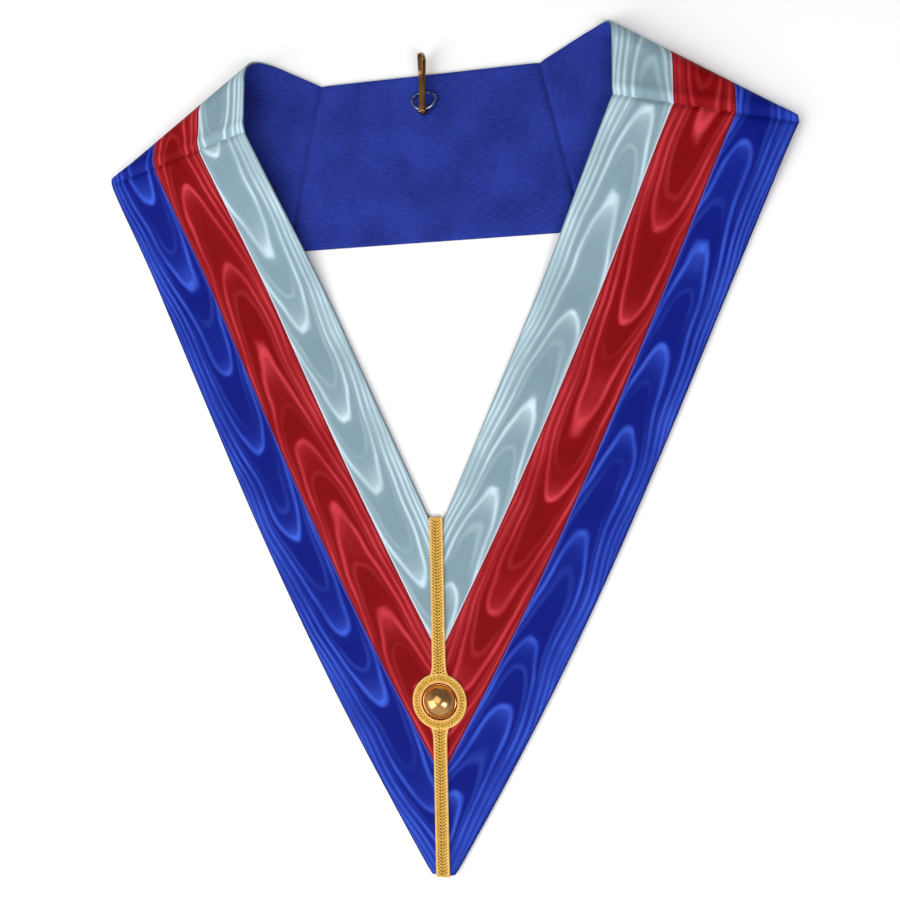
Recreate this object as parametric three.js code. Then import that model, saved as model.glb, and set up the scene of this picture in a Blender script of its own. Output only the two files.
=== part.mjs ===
// A collar of three moire ribbons over a lining, laid flat with its shoulders folded over.
// Millimetres, +Z up. The lining of the back panel and the ribbons of the legs face up.
import * as THREE from 'three';

// Cloth
const RIBBON_WIDTH = 33.1;
const RIBBON_THICKNESS = 1.0;
const LINING_THICKNESS = 1.0;
const CLOTH_GAP = 0.3;
const SEAM_GAP = 0.4;

// The five panels, measured along the neck edge, and the turn that each mitred seam gives the band
const BACK_NECK_LENGTH = 136;
const BACK_TURN_DEG = 27;
const FRONT_TURN_DEG = 24.4;
const FRONT_SEAM_DROP = 27;

// The fold at each shoulder: its slope in plan, how far it stands past the neck corner, its roundness
const FOLD_SLOPE_DEG = 31.5;
const FOLD_REACH = 36.6;
const FOLD_RADIUS_NECK = 10;
const FOLD_RADIUS_OUTER = 3;
const LIFT_AT_BACK_SEAM = 0.3;
const LIFT_AT_FOLD = 0.8;
const SETTLE_LENGTH_NECK = 158;
const SETTLE_LENGTH_OUTER = 75;

// The V
const V_SEAM_LENGTH = 213;
const TIP_CUT_ABOVE = 12;
const LEG_BOW = 9;
const LEG_BOW_PLACE = 0.6;

// Gold braid over the seam of the V
const BRAID_WIDTH = 8.6;
const BRAID_THICKNESS = 1.3;
const BRAID_CORD = 2.0;
const CORD_ARC = 0.8 * Math.PI;
const BRAID_ABOVE_APEX = 11;
const BRAID_PAST_TIP = 0.6;

// Ring of braid and domed button
const RING_DIAMETER = 33.5;
const RING_BAND_WIDTH = 5.8;
const RING_THICKNESS = 2.4;
const RING_BELOW_APEX = 98;
const BUTTON_DIAMETER = 20.6;
const BUTTON_HEIGHT = 7.6;
const BUTTON_RIM = 1.2;

// Gilt hook at the nape, bent from strip, and the wire ring that holds it
const HOOK_WIDTH = 4;
const HOOK_STRIP = 1.8;
const HOOK_LENGTH = 36;
const HOOK_PAST_NECK = 11;
const HOOK_OFFSET = -2;
const EYE_RADIUS = 2.4;
const BEND_RADIUS = 3.6;
const RETURN_LENGTH = 10;
const WIRE_RING_WIDTH = 17;
const WIRE_RING_HEIGHT = 12.5;
const WIRE_RING_WIRE = 1.4;

// Mesh fineness
const CELLS_ACROSS_RIBBON = 3;
const LEG_ROWS = 22;
const FOLD_ROWS = 10;
const FLAT_ROWS = 4;
const WIRE_SIDES = 10;
const RING_SIDES = 24;
const TURNED_SIDES = 28;
const HOOK_STEPS = 40;
const CLOSEST_STOPS = 0.02;

const radians = THREE.MathUtils.degToRad;
const bandWidth = 3 * RIBBON_WIDTH + 2 * CLOTH_GAP;
const liningFace = RIBBON_THICKNESS + CLOTH_GAP;
const panelThickness = liningFace + LINING_THICKNESS;
const ribbonShare = RIBBON_WIDTH / bandWidth;
const ribbonStep = (RIBBON_WIDTH + CLOTH_GAP) / bandWidth;

const ribbons = [
  { name: 'light_blue', color: 0xa9bcc6, roughness: 0.38 },
  { name: 'crimson', color: 0xaa1c20, roughness: 0.38 },
  { name: 'dark_blue', color: 0x23379b, roughness: 0.38 },
];
const lining = { name: 'lining', color: 0x2a3690, roughness: 0.85 };

const braidGold = { color: 0xd7aa3c, roughness: 0.42, metalness: 0.75 };
const giltMetal = { color: 0xc9963a, roughness: 0.22, metalness: 1 };
const wireMetal = { color: 0xa8a59a, roughness: 0.3, metalness: 1 };

// Plan directions on the right-hand side. Across the collar, 0 is the neck edge and 1 the outer edge.
const heading = (degrees) => new THREE.Vector2(Math.cos(radians(degrees)), Math.sin(radians(degrees)));
const alongFold = heading(-FOLD_SLOPE_DEG);
const acrossFold = heading(90 - FOLD_SLOPE_DEG);
const shoulderHeading = heading(-2 * FOLD_SLOPE_DEG - BACK_TURN_DEG);
const legHeading = heading(-2 * FOLD_SLOPE_DEG - BACK_TURN_DEG - FRONT_TURN_DEG);

// The mitred seams, each square to the line that halves its turn
const backSeamDirection = heading(BACK_TURN_DEG / 2 - 90);
const frontSeamDirection = heading(90 - 2 * FOLD_SLOPE_DEG - BACK_TURN_DEG - FRONT_TURN_DEG / 2);
const backSeamLength = bandWidth / Math.cos(radians(BACK_TURN_DEG / 2));
const frontSeamLength = bandWidth / Math.cos(radians(FRONT_TURN_DEG / 2));
const backCorner = new THREE.Vector2(BACK_NECK_LENGTH / 2, 0);
const creaseReach = backCorner.dot(acrossFold) + FOLD_REACH;

const backSeam = (across) => backCorner.clone().addScaledVector(backSeamDirection, across * backSeamLength);
const foldRadius = (across) => THREE.MathUtils.lerp(FOLD_RADIUS_NECK, FOLD_RADIUS_OUTER, across);
const settleLength = (across) => THREE.MathUtils.lerp(SETTLE_LENGTH_NECK, SETTLE_LENGTH_OUTER, across);

// Where the neck edge comes down to the front seam, after its run beneath, its turn and its run on top
function neckEndOfFrontSeam() {
  const runBeneath = creaseReach - FOLD_RADIUS_NECK - backCorner.dot(acrossFold);
  const unrolled = runBeneath + Math.PI * FOLD_RADIUS_NECK + FRONT_SEAM_DROP;
  const sideways = unrolled * (shoulderHeading.dot(alongFold) / -shoulderHeading.dot(acrossFold));
  return alongFold.clone()
    .multiplyScalar(backCorner.dot(alongFold) + sideways)
    .addScaledVector(acrossFold, creaseReach - FOLD_RADIUS_NECK - FRONT_SEAM_DROP);
}
const frontCorner = neckEndOfFrontSeam();
const frontSeam = (across) =>
  frontCorner.clone().addScaledVector(frontSeamDirection, across * frontSeamLength);

// The V seam runs down the middle from the apex, where the legs' neck edges meet
const apex = frontCorner.y - frontCorner.x * (legHeading.y / legHeading.x);
const tip = apex - V_SEAM_LENGTH + TIP_CUT_ABOVE;
const tipCutShare = (V_SEAM_LENGTH - TIP_CUT_ABOVE) / V_SEAM_LENGTH;

// Height of the outer face above the floor, a distance past the fold's crest
function settledHeight(across, pastCrest) {
  const share = Math.min(pastCrest / settleLength(across), 1);
  const raised = (1 - share) ** 2 * (1 + 2 * share);
  return panelThickness + (2 * foldRadius(across) - panelThickness) * raised;
}
const crestToFrontSeam = (across) => creaseReach - foldRadius(across) - frontSeam(across).dot(acrossFold);

// A point of the leg, a share of the way from the front seam to the V, as deep in the cloth as depth
function legPoint(across, along, depth) {
  const start = frontSeam(across).addScaledVector(legHeading, SEAM_GAP / 2);
  const end = new THREE.Vector2(SEAM_GAP / 2, apex - across * V_SEAM_LENGTH);
  const share = end.y < tip ? along * (start.y - tip) / (start.y - end.y) : along;
  const bow = LEG_BOW * across * Math.sin(Math.PI * share ** (Math.log(0.5) / Math.log(LEG_BOW_PLACE)));
  const place = start.clone().lerp(end, share);
  const pastCrest = Math.max(crestToFrontSeam(across), 0) + place.distanceTo(start);
  const point = new THREE.Vector3(place.x, place.y, settledHeight(across, pastCrest) - depth);
  point.x += bow * -legHeading.y;
  point.y += along === 1 ? 0 : bow * legHeading.x;
  return point;
}

// A point of the shoulder, from the back seam beneath, round the fold, to the front seam on top.
// Beneath, it stands a little clear of the floor.
function shoulderPoint(across, row, depth) {
  const radius = foldRadius(across);
  const start = backSeam(across);
  const end = frontSeam(across);
  const crest = creaseReach - radius;
  const startReach = start.dot(acrossFold);
  const beneath = crest - startReach;
  const onTop = crest - end.dot(acrossFold);
  const unrolled = beneath + Math.PI * radius + onTop;
  const travelled = shoulderTravel(row, beneath, Math.PI * radius, onTop);
  const sideways = THREE.MathUtils.lerp(start.dot(alongFold), end.dot(alongFold), travelled / unrolled);
  let reach = startReach + travelled;
  let height = depth;
  if (travelled > beneath) {
    const turn = Math.min((travelled - beneath) / radius, Math.PI);
    reach = crest + (radius - depth) * Math.sin(turn);
    height = radius - (radius - depth) * Math.cos(turn);
  }
  const pastCrest = travelled - beneath - Math.PI * radius;
  if (pastCrest > 0) {
    reach = crest - pastCrest;
    height = settledHeight(across, pastCrest) - depth;
  } else {
    const lift = THREE.MathUtils.lerp(LIFT_AT_BACK_SEAM, LIFT_AT_FOLD, Math.min(travelled / beneath, 1));
    height += lift * (1 - height / (2 * radius));
  }
  const place = alongFold.clone().multiplyScalar(sideways).addScaledVector(acrossFold, reach);
  return new THREE.Vector3(place.x, place.y, height);
}

// The rows of a shoulder are shared out among its run beneath, its turn and its run on top
const shoulderRows = FLAT_ROWS + FOLD_ROWS + FLAT_ROWS;
function shoulderTravel(row, beneath, turn, onTop) {
  if (row <= FLAT_ROWS) {
    return SEAM_GAP / 2 + (beneath - SEAM_GAP / 2) * row / FLAT_ROWS;
  }
  if (row <= FLAT_ROWS + FOLD_ROWS) {
    return beneath + turn * (row - FLAT_ROWS) / FOLD_ROWS;
  }
  return beneath + turn + (onTop - SEAM_GAP / 2) * (row - FLAT_ROWS - FOLD_ROWS) / FLAT_ROWS;
}

// A point of the back panel, a share of the way from its left seam to its right one
function backPoint(across, along, depth) {
  const end = backSeam(across);
  const halfWidth = end.x - SEAM_GAP / 2;
  return new THREE.Vector3(THREE.MathUtils.lerp(-halfWidth, halfWidth, along), end.y, depth);
}

// A sheet between two depths of cloth. pointAt takes the place across, the row and the depth.
function sheetGeometry(pointAt, acrossStops, rows, outerDepth, innerDepth) {
  const columns = acrossStops.length;
  const positions = [];
  for (const depth of [outerDepth, innerDepth]) {
    for (let row = 0; row <= rows; row += 1) {
      for (const across of acrossStops) {
        positions.push(...pointAt(across, row, depth).toArray());
      }
    }
  }
  const inner = columns * (rows + 1);
  const at = (row, column) => row * columns + column;
  const faces = [];
  const quad = (a, b, c, d) => faces.push(a, b, c, a, c, d);
  for (let row = 0; row < rows; row += 1) {
    for (let column = 0; column < columns - 1; column += 1) {
      const a = at(row, column);
      const b = at(row, column + 1);
      const c = at(row + 1, column + 1);
      const d = at(row + 1, column);
      quad(a, b, c, d);
      quad(a + inner, d + inner, c + inner, b + inner);
    }
  }
  const columnNumbers = [...Array(columns).keys()];
  const innerRows = [...Array(rows + 1).keys()].slice(1, -1);
  const rim = [
    ...columnNumbers.map((column) => at(0, column)),
    ...innerRows.map((row) => at(row, columns - 1)),
    ...columnNumbers.toReversed().map((column) => at(rows, column)),
    ...innerRows.toReversed().map((row) => at(row, 0)),
  ];
  rim.forEach((from, place) => {
    const to = rim[(place + 1) % rim.length];
    quad(to, from, from + inner, to + inner);
  });
  const geometry = new THREE.BufferGeometry();
  geometry.setAttribute('position', new THREE.Float32BufferAttribute(positions, 3));
  geometry.setIndex(faces);
  return outward(geometry);
}

// Turns the faces of a closed mesh so that they point out
function outward(geometry) {
  const index = geometry.index.array;
  const position = geometry.attributes.position;
  const corners = [new THREE.Vector3(), new THREE.Vector3(), new THREE.Vector3()];
  let volume = 0;
  for (let face = 0; face < index.length; face += 3) {
    corners.forEach((corner, place) => corner.fromBufferAttribute(position, index[face + place]));
    volume += corners[0].dot(corners[1].clone().cross(corners[2])) / 6;
  }
  if (volume < 0) {
    for (let face = 0; face < index.length; face += 3) {
      [index[face], index[face + 1]] = [index[face + 1], index[face]];
    }
  }
  geometry.computeVertexNormals();
  return geometry;
}

function mirrored(geometry) {
  const copy = geometry.clone();
  copy.scale(-1, 1, 1);
  return outward(copy);
}

function namedMesh(name, geometry, { color, roughness, metalness = 0 }) {
  const mesh = new THREE.Mesh(geometry, new THREE.MeshStandardMaterial({ color, roughness, metalness }));
  mesh.name = name;
  return mesh;
}

const evenStops = (from, to, cells) =>
  Array.from({ length: cells + 1 }, (_, place) => THREE.MathUtils.lerp(from, to, place / cells));

// The stops of the outermost ribbon and of the lining take in the corner where the tip is cut square
function withTipCorner(stops) {
  const last = stops[stops.length - 1];
  if (tipCutShare <= stops[0] || tipCutShare >= last) {
    return stops;
  }
  const kept = stops.filter((stop) => Math.abs(stop - tipCutShare) > CLOSEST_STOPS || stop === last);
  return [...kept, tipCutShare].sort((a, b) => a - b);
}

// Three ribbons and a lining, with the same outline
function addPanel(collar, panel, pointAt, rows, stopsFor, copies) {
  const layers = ribbons.map((ribbon, place) => ({
    ...ribbon,
    stops: stopsFor(evenStops(place * ribbonStep, place * ribbonStep + ribbonShare, CELLS_ACROSS_RIBBON)),
    depths: [0, RIBBON_THICKNESS],
  }));
  layers.push({
    ...lining,
    stops: stopsFor(evenStops(0, 1, ribbons.length * CELLS_ACROSS_RIBBON)),
    depths: [liningFace, panelThickness],
  });
  for (const layer of layers) {
    const geometry = sheetGeometry(pointAt, layer.stops, rows, ...layer.depths);
    for (const { side, shape } of copies) {
      collar.add(namedMesh(`${side}${panel}_${layer.name}`, shape(geometry), layer));
    }
  }
}

function addPanels(collar) {
  const bothSides = [
    { side: 'right_', shape: (geometry) => geometry },
    { side: 'left_', shape: mirrored },
  ];
  const once = [{ side: '', shape: (geometry) => geometry }];
  const asTheyAre = (stops) => stops;
  const legRow = (across, row, depth) => legPoint(across, row / LEG_ROWS, depth);
  const backRow = (across, row, depth) => backPoint(across, row / FLAT_ROWS, depth);
  addPanel(collar, 'leg', legRow, LEG_ROWS, withTipCorner, bothSides);
  addPanel(collar, 'shoulder', shoulderPoint, shoulderRows, asTheyAre, bothSides);
  addPanel(collar, 'back', backRow, FLAT_ROWS, asTheyAre, once);
}

// A length of braid: a flat band with a cord along each edge, extruded along the seam
function braidGeometry(length) {
  const half = BRAID_WIDTH / 2;
  const cord = BRAID_CORD / 2;
  const section = new THREE.Shape();
  section.moveTo(-half, 0);
  section.lineTo(half, 0);
  section.absarc(half - cord, BRAID_THICKNESS - cord / 2, cord, 0, CORD_ARC, false);
  section.absarc(cord - half, BRAID_THICKNESS - cord / 2, cord, Math.PI - CORD_ARC, Math.PI, false);
  section.closePath();
  const settings = { depth: length, bevelEnabled: false, curveSegments: WIRE_SIDES / 2 };
  return new THREE.ExtrudeGeometry(section, settings).rotateX(Math.PI / 2);
}

function addSeamTrim(collar) {
  const onRibbons = panelThickness + CLOTH_GAP;
  const ringCentre = apex - RING_BELOW_APEX;
  const ringRadius = RING_DIAMETER / 2;
  const lengths = [
    { name: 'seam_braid_upper', top: apex + BRAID_ABOVE_APEX, bottom: ringCentre + ringRadius + CLOTH_GAP },
    { name: 'seam_braid_lower', top: ringCentre - ringRadius - CLOTH_GAP, bottom: tip - BRAID_PAST_TIP },
  ];
  for (const { name, top, bottom } of lengths) {
    const braid = namedMesh(name, braidGeometry(top - bottom), braidGold);
    braid.position.set(0, top, onRibbons);
    collar.add(braid);
  }

  const bandHalf = RING_BAND_WIDTH / 2;
  const bandMiddle = ringRadius - bandHalf;
  const ringSection = new THREE.Shape();
  ringSection.moveTo(bandMiddle - bandHalf, 0);
  ringSection.lineTo(bandMiddle + bandHalf, 0);
  ringSection.lineTo(bandMiddle + bandHalf, RING_THICKNESS / 2);
  ringSection.absellipse(bandMiddle, RING_THICKNESS / 2, bandHalf, RING_THICKNESS / 2, 0, Math.PI, false);
  ringSection.closePath();
  const braidRing = namedMesh('braid_ring', turned(ringSection.getPoints(4)), braidGold);
  braidRing.position.set(0, ringCentre, onRibbons);
  collar.add(braidRing);

  const buttonRadius = BUTTON_DIAMETER / 2;
  const dome = new THREE.Shape();
  dome.moveTo(0, 0);
  dome.lineTo(buttonRadius, 0);
  dome.lineTo(buttonRadius, BUTTON_RIM);
  dome.absellipse(0, BUTTON_RIM, buttonRadius - CLOTH_GAP, BUTTON_HEIGHT - BUTTON_RIM, 0, Math.PI / 2, false);
  const button = namedMesh('dome_button', turned(dome.getPoints(6)), giltMetal);
  button.position.set(0, ringCentre, onRibbons);
  collar.add(button);
}

// A profile of radius and height, turned about +Z
function turned(points) {
  const closed = points[0].x === 0 ? points : [...points, points[0].clone()];
  return new THREE.LatheGeometry(closed, TURNED_SIDES).rotateX(Math.PI / 2);
}

// A strip with rounded edges, swept along a curve in the plane across the collar
function stripGeometry(points) {
  const section = new THREE.Shape();
  section.absellipse(0, 0, HOOK_WIDTH / 2, HOOK_STRIP / 2, 0, 2 * Math.PI, false);
  const extrudePath = new THREE.CatmullRomCurve3(points);
  const settings = { extrudePath, steps: HOOK_STEPS, curveSegments: WIRE_SIDES / 2 };
  return new THREE.ExtrudeGeometry(section, settings);
}

// The hook stands on its edge: an eye round the wire ring, a shank over the neck edge, a bend and its return
function addHook(collar) {
  const liningTop = panelThickness + CLOTH_GAP;
  const eyeHeight = liningTop + HOOK_STRIP / 2 + EYE_RADIUS;
  const eyeCentre = HOOK_PAST_NECK - HOOK_LENGTH + HOOK_STRIP / 2 + EYE_RADIUS;
  const bendCentre = HOOK_PAST_NECK - HOOK_STRIP / 2 - BEND_RADIUS;
  const shankEnd = liningTop + WIRE_RING_WIRE + CLOTH_GAP + HOOK_STRIP / 2;
  const bendHeight = shankEnd + BEND_RADIUS;
  const arc = (y, z, radius, fromDeg, toDeg, count) =>
    evenStops(fromDeg, toDeg, count).map((degrees) => {
      const offset = heading(degrees).multiplyScalar(radius);
      return new THREE.Vector3(0, y + offset.x, z + offset.y);
    });
  const route = [
    ...arc(eyeCentre, eyeHeight, EYE_RADIUS, -15, -270, 9),
    ...arc(bendCentre, bendHeight, BEND_RADIUS, -90, 90, 6),
    new THREE.Vector3(0, bendCentre - RETURN_LENGTH, bendHeight + BEND_RADIUS + HOOK_STRIP / 2),
  ];
  const hook = namedMesh('neck_hook', stripGeometry(route), giltMetal);
  hook.position.x = HOOK_OFFSET;
  collar.add(hook);

  // The ring runs through the middle of the eye and slopes back to the lining, where it is sewn down
  const wireRadius = WIRE_RING_WIRE / 2;
  const middleHeight = WIRE_RING_HEIGHT - WIRE_RING_WIRE;
  const slope = Math.asin((eyeHeight - liningTop - wireRadius) / middleHeight);
  const ring = new THREE.TorusGeometry(WIRE_RING_WIDTH / 2 - wireRadius, wireRadius, WIRE_SIDES, RING_SIDES);
  ring.scale(1, WIRE_RING_HEIGHT / WIRE_RING_WIDTH, 1);
  ring.rotateX(-slope);
  const wireRing = namedMesh('hook_ring', ring, wireMetal);
  wireRing.position.set(
    HOOK_OFFSET,
    eyeCentre + (middleHeight / 2) * Math.cos(slope),
    (eyeHeight + liningTop + wireRadius) / 2,
  );
  collar.add(wireRing);
}

const collar = new THREE.Group();
addPanels(collar);
addSeamTrim(collar);
addHook(collar);

// The origin is the middle of the collar's footprint, on the floor
collar.updateMatrixWorld(true);
const box = new THREE.Box3().setFromObject(collar);
const middle = box.getCenter(new THREE.Vector3());
for (const mesh of collar.children) {
  mesh.position.x -= middle.x;
  mesh.position.y -= middle.y;
  mesh.position.z -= box.min.z;
}

export default collar;
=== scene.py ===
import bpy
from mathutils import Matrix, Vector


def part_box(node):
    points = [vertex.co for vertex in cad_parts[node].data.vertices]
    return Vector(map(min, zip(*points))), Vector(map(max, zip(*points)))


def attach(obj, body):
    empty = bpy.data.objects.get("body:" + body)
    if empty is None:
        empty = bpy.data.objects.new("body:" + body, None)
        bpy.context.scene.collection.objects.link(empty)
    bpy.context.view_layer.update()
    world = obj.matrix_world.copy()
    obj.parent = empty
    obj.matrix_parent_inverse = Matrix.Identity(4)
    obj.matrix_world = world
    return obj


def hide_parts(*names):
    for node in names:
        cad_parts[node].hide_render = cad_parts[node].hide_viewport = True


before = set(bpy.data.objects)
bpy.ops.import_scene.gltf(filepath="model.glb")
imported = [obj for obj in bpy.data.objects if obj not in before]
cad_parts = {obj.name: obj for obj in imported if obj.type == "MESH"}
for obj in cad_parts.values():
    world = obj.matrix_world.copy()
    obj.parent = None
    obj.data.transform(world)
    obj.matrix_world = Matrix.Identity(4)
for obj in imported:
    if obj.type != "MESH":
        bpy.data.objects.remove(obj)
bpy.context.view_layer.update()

import math

import bpy
import numpy as np
from mathutils import Matrix, Vector


# The view: a camera held over the collar and leant a little to the right, so that the collar's left side
# is farther away and smaller.
AIM = Vector((0.0086, 0.0050, 0.0))
CAMERA_DISTANCE = 0.7263
LENS = 48.9
LEAN_RIGHT = math.radians(15.78)
LEAN_BACK = math.radians(-0.60)
ROLL = math.radians(1.17)

to_camera = (
    Matrix.Rotation(ROLL, 3, "Z") @ Matrix.Rotation(LEAN_BACK, 3, "X") @ Matrix.Rotation(-LEAN_RIGHT, 3, "Y")
)
camera = bpy.data.objects.new("camera", bpy.data.cameras.new("camera"))
camera.data.lens = LENS
camera.matrix_world = Matrix.Translation(AIM + to_camera.transposed() @ Vector((0, 0, CAMERA_DISTANCE))) @ (
    to_camera.transposed().to_4x4()
)
bpy.context.scene.collection.objects.link(camera)
bpy.context.scene.camera = camera
bpy.context.scene.view_settings.view_transform = "Standard"


# The floor and the light: a sheet of white card under three soft lamps, the strongest of them at the lower
# left, in a room that is bright on that side and dim on the other.
FLOOR_SIZE = 24.0
CARD_PLAIN = (246, 246, 245)
CARD_FLECK = (250, 250, 250)
CARD_GRAIN = 40.0
CARD_DETAIL = 3.0
CARD_ROUGHNESS = 0.9
LAMPS = (
    # name, place, its width and height, watts
    ("left softbox", (-1.1, -0.55, 1.0), (1.0, 1.4), 14.4),
    ("top softbox", (-0.3, 0.2, 1.45), (0.9, 1.1), 5.3),
    ("right lamp", (0.8, -0.6, 1.2), (0.5, 0.7), 8.8),
)
ROOM_BRIGHT = 0.72
ROOM_DIM = 0.2
BRIGHT_WAY = (-0.5, -0.85, 0.15)
BRIGHT_FADE = (-0.35, 0.85)
WHITE = (1, 1, 1, 1)


def feed(node, values):
    """Fills a node's sockets, with a link where the value is one and with the number itself elsewhere."""
    for socket, value in values.items():
        if isinstance(value, Link):
            value.tree.links.new(value.socket, node.inputs[socket])
        else:
            node.inputs[socket].default_value = value


def colour(red, green, blue):
    """A colour given as the eye sees it, from 0 to 255, in the linear values that nodes hold."""
    return [((c / 255 + 0.055) / 1.055) ** 2.4 if c > 10 else c / 255 / 12.92 for c in (red, green, blue)]


class Link:
    """One socket in a material's tree of nodes. Sums on it add Math nodes."""

    def __init__(self, tree, socket=None):
        self.tree, self.socket = tree, socket

    def add(self, kind, settings=None, inputs=None, output=0):
        node = self.tree.nodes.new("ShaderNode" + kind)
        for name, value in (settings or {}).items():
            setattr(node, name, value)
        feed(node, inputs or {})
        return Link(self.tree, node.outputs[output])

    def maths(self, operation, *others):
        return self.add("Math", {"operation": operation}, dict(enumerate((self, *others))))

    def __add__(self, other):
        return self.maths("ADD", other)

    def __sub__(self, other):
        return self.maths("SUBTRACT", other)

    def __mul__(self, other):
        return self.maths("MULTIPLY", other)

    def __truediv__(self, other):
        return self.maths("DIVIDE", other)

    def __pow__(self, other):
        return self.maths("POWER", other)

    def __rsub__(self, other):
        return self.maths("MULTIPLY_ADD", -1.0, other)

    def __rtruediv__(self, other):
        return self.maths("POWER", -1.0) * other

    __radd__ = __add__
    __rmul__ = __mul__

    def axis(self, number):
        """The x (0) or y (1) of a place."""
        return self.add("SeparateXYZ", inputs={0: self}, output=number)

    def noise(self, scale, detail):
        return self.add("TexNoise", inputs={"Vector": self, "Scale": scale, "Detail": detail})

    def wave(self, count):
        """Even ridges from 0 to 1, so many for each unit of this value."""
        return (self * (count * 2 * math.pi)).maths("SINE") * 0.5 + 0.5

    def fall(self, start, end):
        """1 below start and 0 past end, with a soft step between."""
        return self.add(
            "MapRange",
            {"interpolation_type": "SMOOTHSTEP"},
            {"Value": self, "From Min": start, "From Max": end, "To Min": 1.0, "To Max": 0.0},
        )

    def tint(self, *ends):
        """The first colour where this value is 0 and the second where it is 1, each a link or as seen."""
        first, second = (end if isinstance(end, Link) else (*colour(*end), 1) for end in ends)
        return self.add("Mix", {"data_type": "RGBA"}, {0: self, 6: first, 7: second}, 2)

    def relief(self, strength, depth):
        """Fine relief of this height on the surface."""
        return self.add("Bump", inputs={"Strength": strength, "Distance": depth, "Height": self})


def new_material(name):
    material = bpy.data.materials.new(name)
    material.use_nodes = True
    tree = material.node_tree
    return material, Link(tree), tree.nodes["Principled BSDF"]


floor_mesh = bpy.data.meshes.new("floor")
side = FLOOR_SIZE / 2
floor_corners = [(-side, -side, 0), (side, -side, 0), (side, side, 0), (-side, side, 0)]
floor_mesh.from_pydata(floor_corners, [], [(0, 1, 2, 3)])
floor = bpy.data.objects.new("floor", floor_mesh)
bpy.context.scene.collection.objects.link(floor)
card, card_link, card_shader = new_material("card")
card_grain = card_link.add("TexNoise", inputs={"Scale": CARD_GRAIN, "Detail": CARD_DETAIL})
feed(card_shader, {"Base Color": card_grain.tint(CARD_PLAIN, CARD_FLECK), "Roughness": CARD_ROUGHNESS})
floor_mesh.materials.append(card)

for name, place, (width, height), watts in LAMPS:
    lamp = bpy.data.lights.new(name, "AREA")
    lamp.shape, lamp.size, lamp.size_y, lamp.energy = "RECTANGLE", width, height, watts
    holder = bpy.data.objects.new(name, lamp)
    holder.location = place
    holder.rotation_euler = (-Vector(place)).to_track_quat("-Z", "Y").to_euler()
    bpy.context.scene.collection.objects.link(holder)

world = bpy.data.worlds.new("studio")
world.use_nodes = True
room = Link(world.node_tree)
looking = room.add("TexCoord")
toward = room.add("VectorMath", {"operation": "DOT_PRODUCT"}, {0: looking, 1: BRIGHT_WAY}, "Value")
room_light = ROOM_DIM + (ROOM_BRIGHT - ROOM_DIM) * (1.0 - toward.fall(*BRIGHT_FADE))
feed(world.node_tree.nodes["Background"], {"Color": WHITE, "Strength": room_light})
bpy.context.scene.world = world


# The cloth's shape: five panels, mitred where the band turns and sewn into a loop. They are a back panel,
# two shoulders that fold over, and two legs that meet in a V. Lengths are in millimetres from the back
# panel's neck edge, and across the band 0 is its neck edge and 1 its outer edge.
MM = 0.001
back_low, back_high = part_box("back_lining")
neck_line = back_high.y / MM
band_width = (back_high.y - back_low.y) / MM
ribbon_width = (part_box("back_dark_blue")[1].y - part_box("back_dark_blue")[0].y) / MM
ribbon_step = (band_width - ribbon_width) / 2
panel_thickness = back_high.z / MM
ribbon_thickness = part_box("back_dark_blue")[1].z / MM
lining_face = back_low.z / MM
BACK_TURN = 27.0
FRONT_TURN = 24.4
FOLD_SLOPE = 31.5
FOLD_REACH = 36.6
FOLD_RADIUS = (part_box("left_shoulder_light_blue")[1].z / MM / 2, 3.0)
FRONT_SEAM_DROP = 27.0
LIFT = (0.3, 0.8)
SETTLE_LENGTH = (158.0, 75.0)
CREST_DROP = 0.13
CREST_REACH = 13.0
V_SEAM_LENGTH = 213.0
TIP_CUT_ABOVE = 12.0
TIP_ROUND = 3.2
TIP_SPREAD = 0.66
LEG_BOW = 9.0
LEG_BOW_PLACE = 0.6
SEAM_GAP = 0.4
SEAM_DIP = 1.1
SEAM_DIP_WIDTH = 2.0
RIDGE = 0.9
RIDGE_PLACE = 4.5
RIDGE_WIDTH = 2.6


def heading(degrees):
    return np.array([math.cos(math.radians(degrees)), math.sin(math.radians(degrees))])


def blend(ends, share):
    return ends[0] + (ends[1] - ends[0]) * share


along_fold = heading(-FOLD_SLOPE)
across_fold = heading(90 - FOLD_SLOPE)
shoulder_heading = heading(-2 * FOLD_SLOPE - BACK_TURN)
leg_heading = heading(-2 * FOLD_SLOPE - BACK_TURN - FRONT_TURN)
back_seam_way = heading(BACK_TURN / 2 - 90) * band_width / math.cos(math.radians(BACK_TURN / 2))
front_seam_way = heading(90 - 2 * FOLD_SLOPE - BACK_TURN - FRONT_TURN / 2) * (
    band_width / math.cos(math.radians(FRONT_TURN / 2))
)
back_half = back_high.x / MM + SEAM_GAP / 2 - back_seam_way[0]
back_corner = np.array([back_half, 0.0])
crease_reach = back_corner @ across_fold + FOLD_REACH
unrolled_neck = FOLD_REACH - FOLD_RADIUS[0] + math.pi * FOLD_RADIUS[0] + FRONT_SEAM_DROP
sidestep = unrolled_neck * (shoulder_heading @ along_fold) / -(shoulder_heading @ across_fold)
front_corner = along_fold * (back_corner @ along_fold + sidestep) + across_fold * (
    crease_reach - FOLD_RADIUS[0] - FRONT_SEAM_DROP
)
apex = front_corner[1] - front_corner[0] * leg_heading[1] / leg_heading[0]
tip = apex - V_SEAM_LENGTH + TIP_CUT_ABOVE
tip_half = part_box("right_leg_dark_blue")[0].x / MM + TIP_CUT_ABOVE * TIP_SPREAD


def seam_place(corner, way, across):
    return corner + np.multiply.outer(across, way)


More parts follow.
